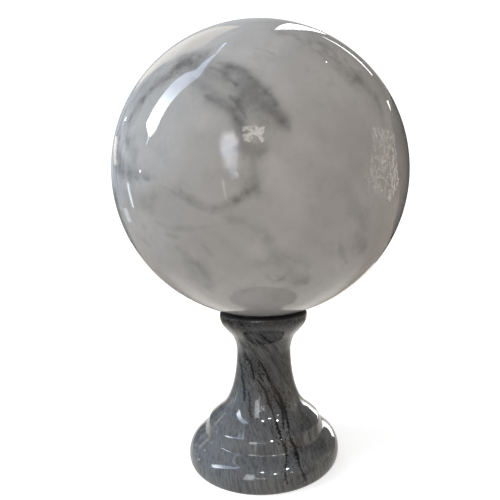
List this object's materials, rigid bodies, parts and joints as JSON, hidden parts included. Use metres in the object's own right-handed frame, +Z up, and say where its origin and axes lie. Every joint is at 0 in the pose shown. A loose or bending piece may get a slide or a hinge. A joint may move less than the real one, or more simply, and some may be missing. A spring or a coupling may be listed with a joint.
{
  "type": "decorative sphere",
  "caption": "Polished stone sphere resting in the dished collar of a turned stone stand with a flared foot.",
  "frame": {"origin": "middle of the stand's flat underside", "axes": "+Z up, along the axis that the stand was turned on and through the ball's centre; the pictured side faces -Y"},
  "size_m": [0.2, 0.2, 0.2881],
  "materials": {
    "pale_stone": "polished pale grey marble with cloudy darker grey bands and fine veins",
    "dark_stone": "polished dark grey marble with broken near-black veins"
  },
  "bodies": {
    "root": {"ball": "pale_stone", "stand": "dark_stone"}
  },
  "joints": []
}
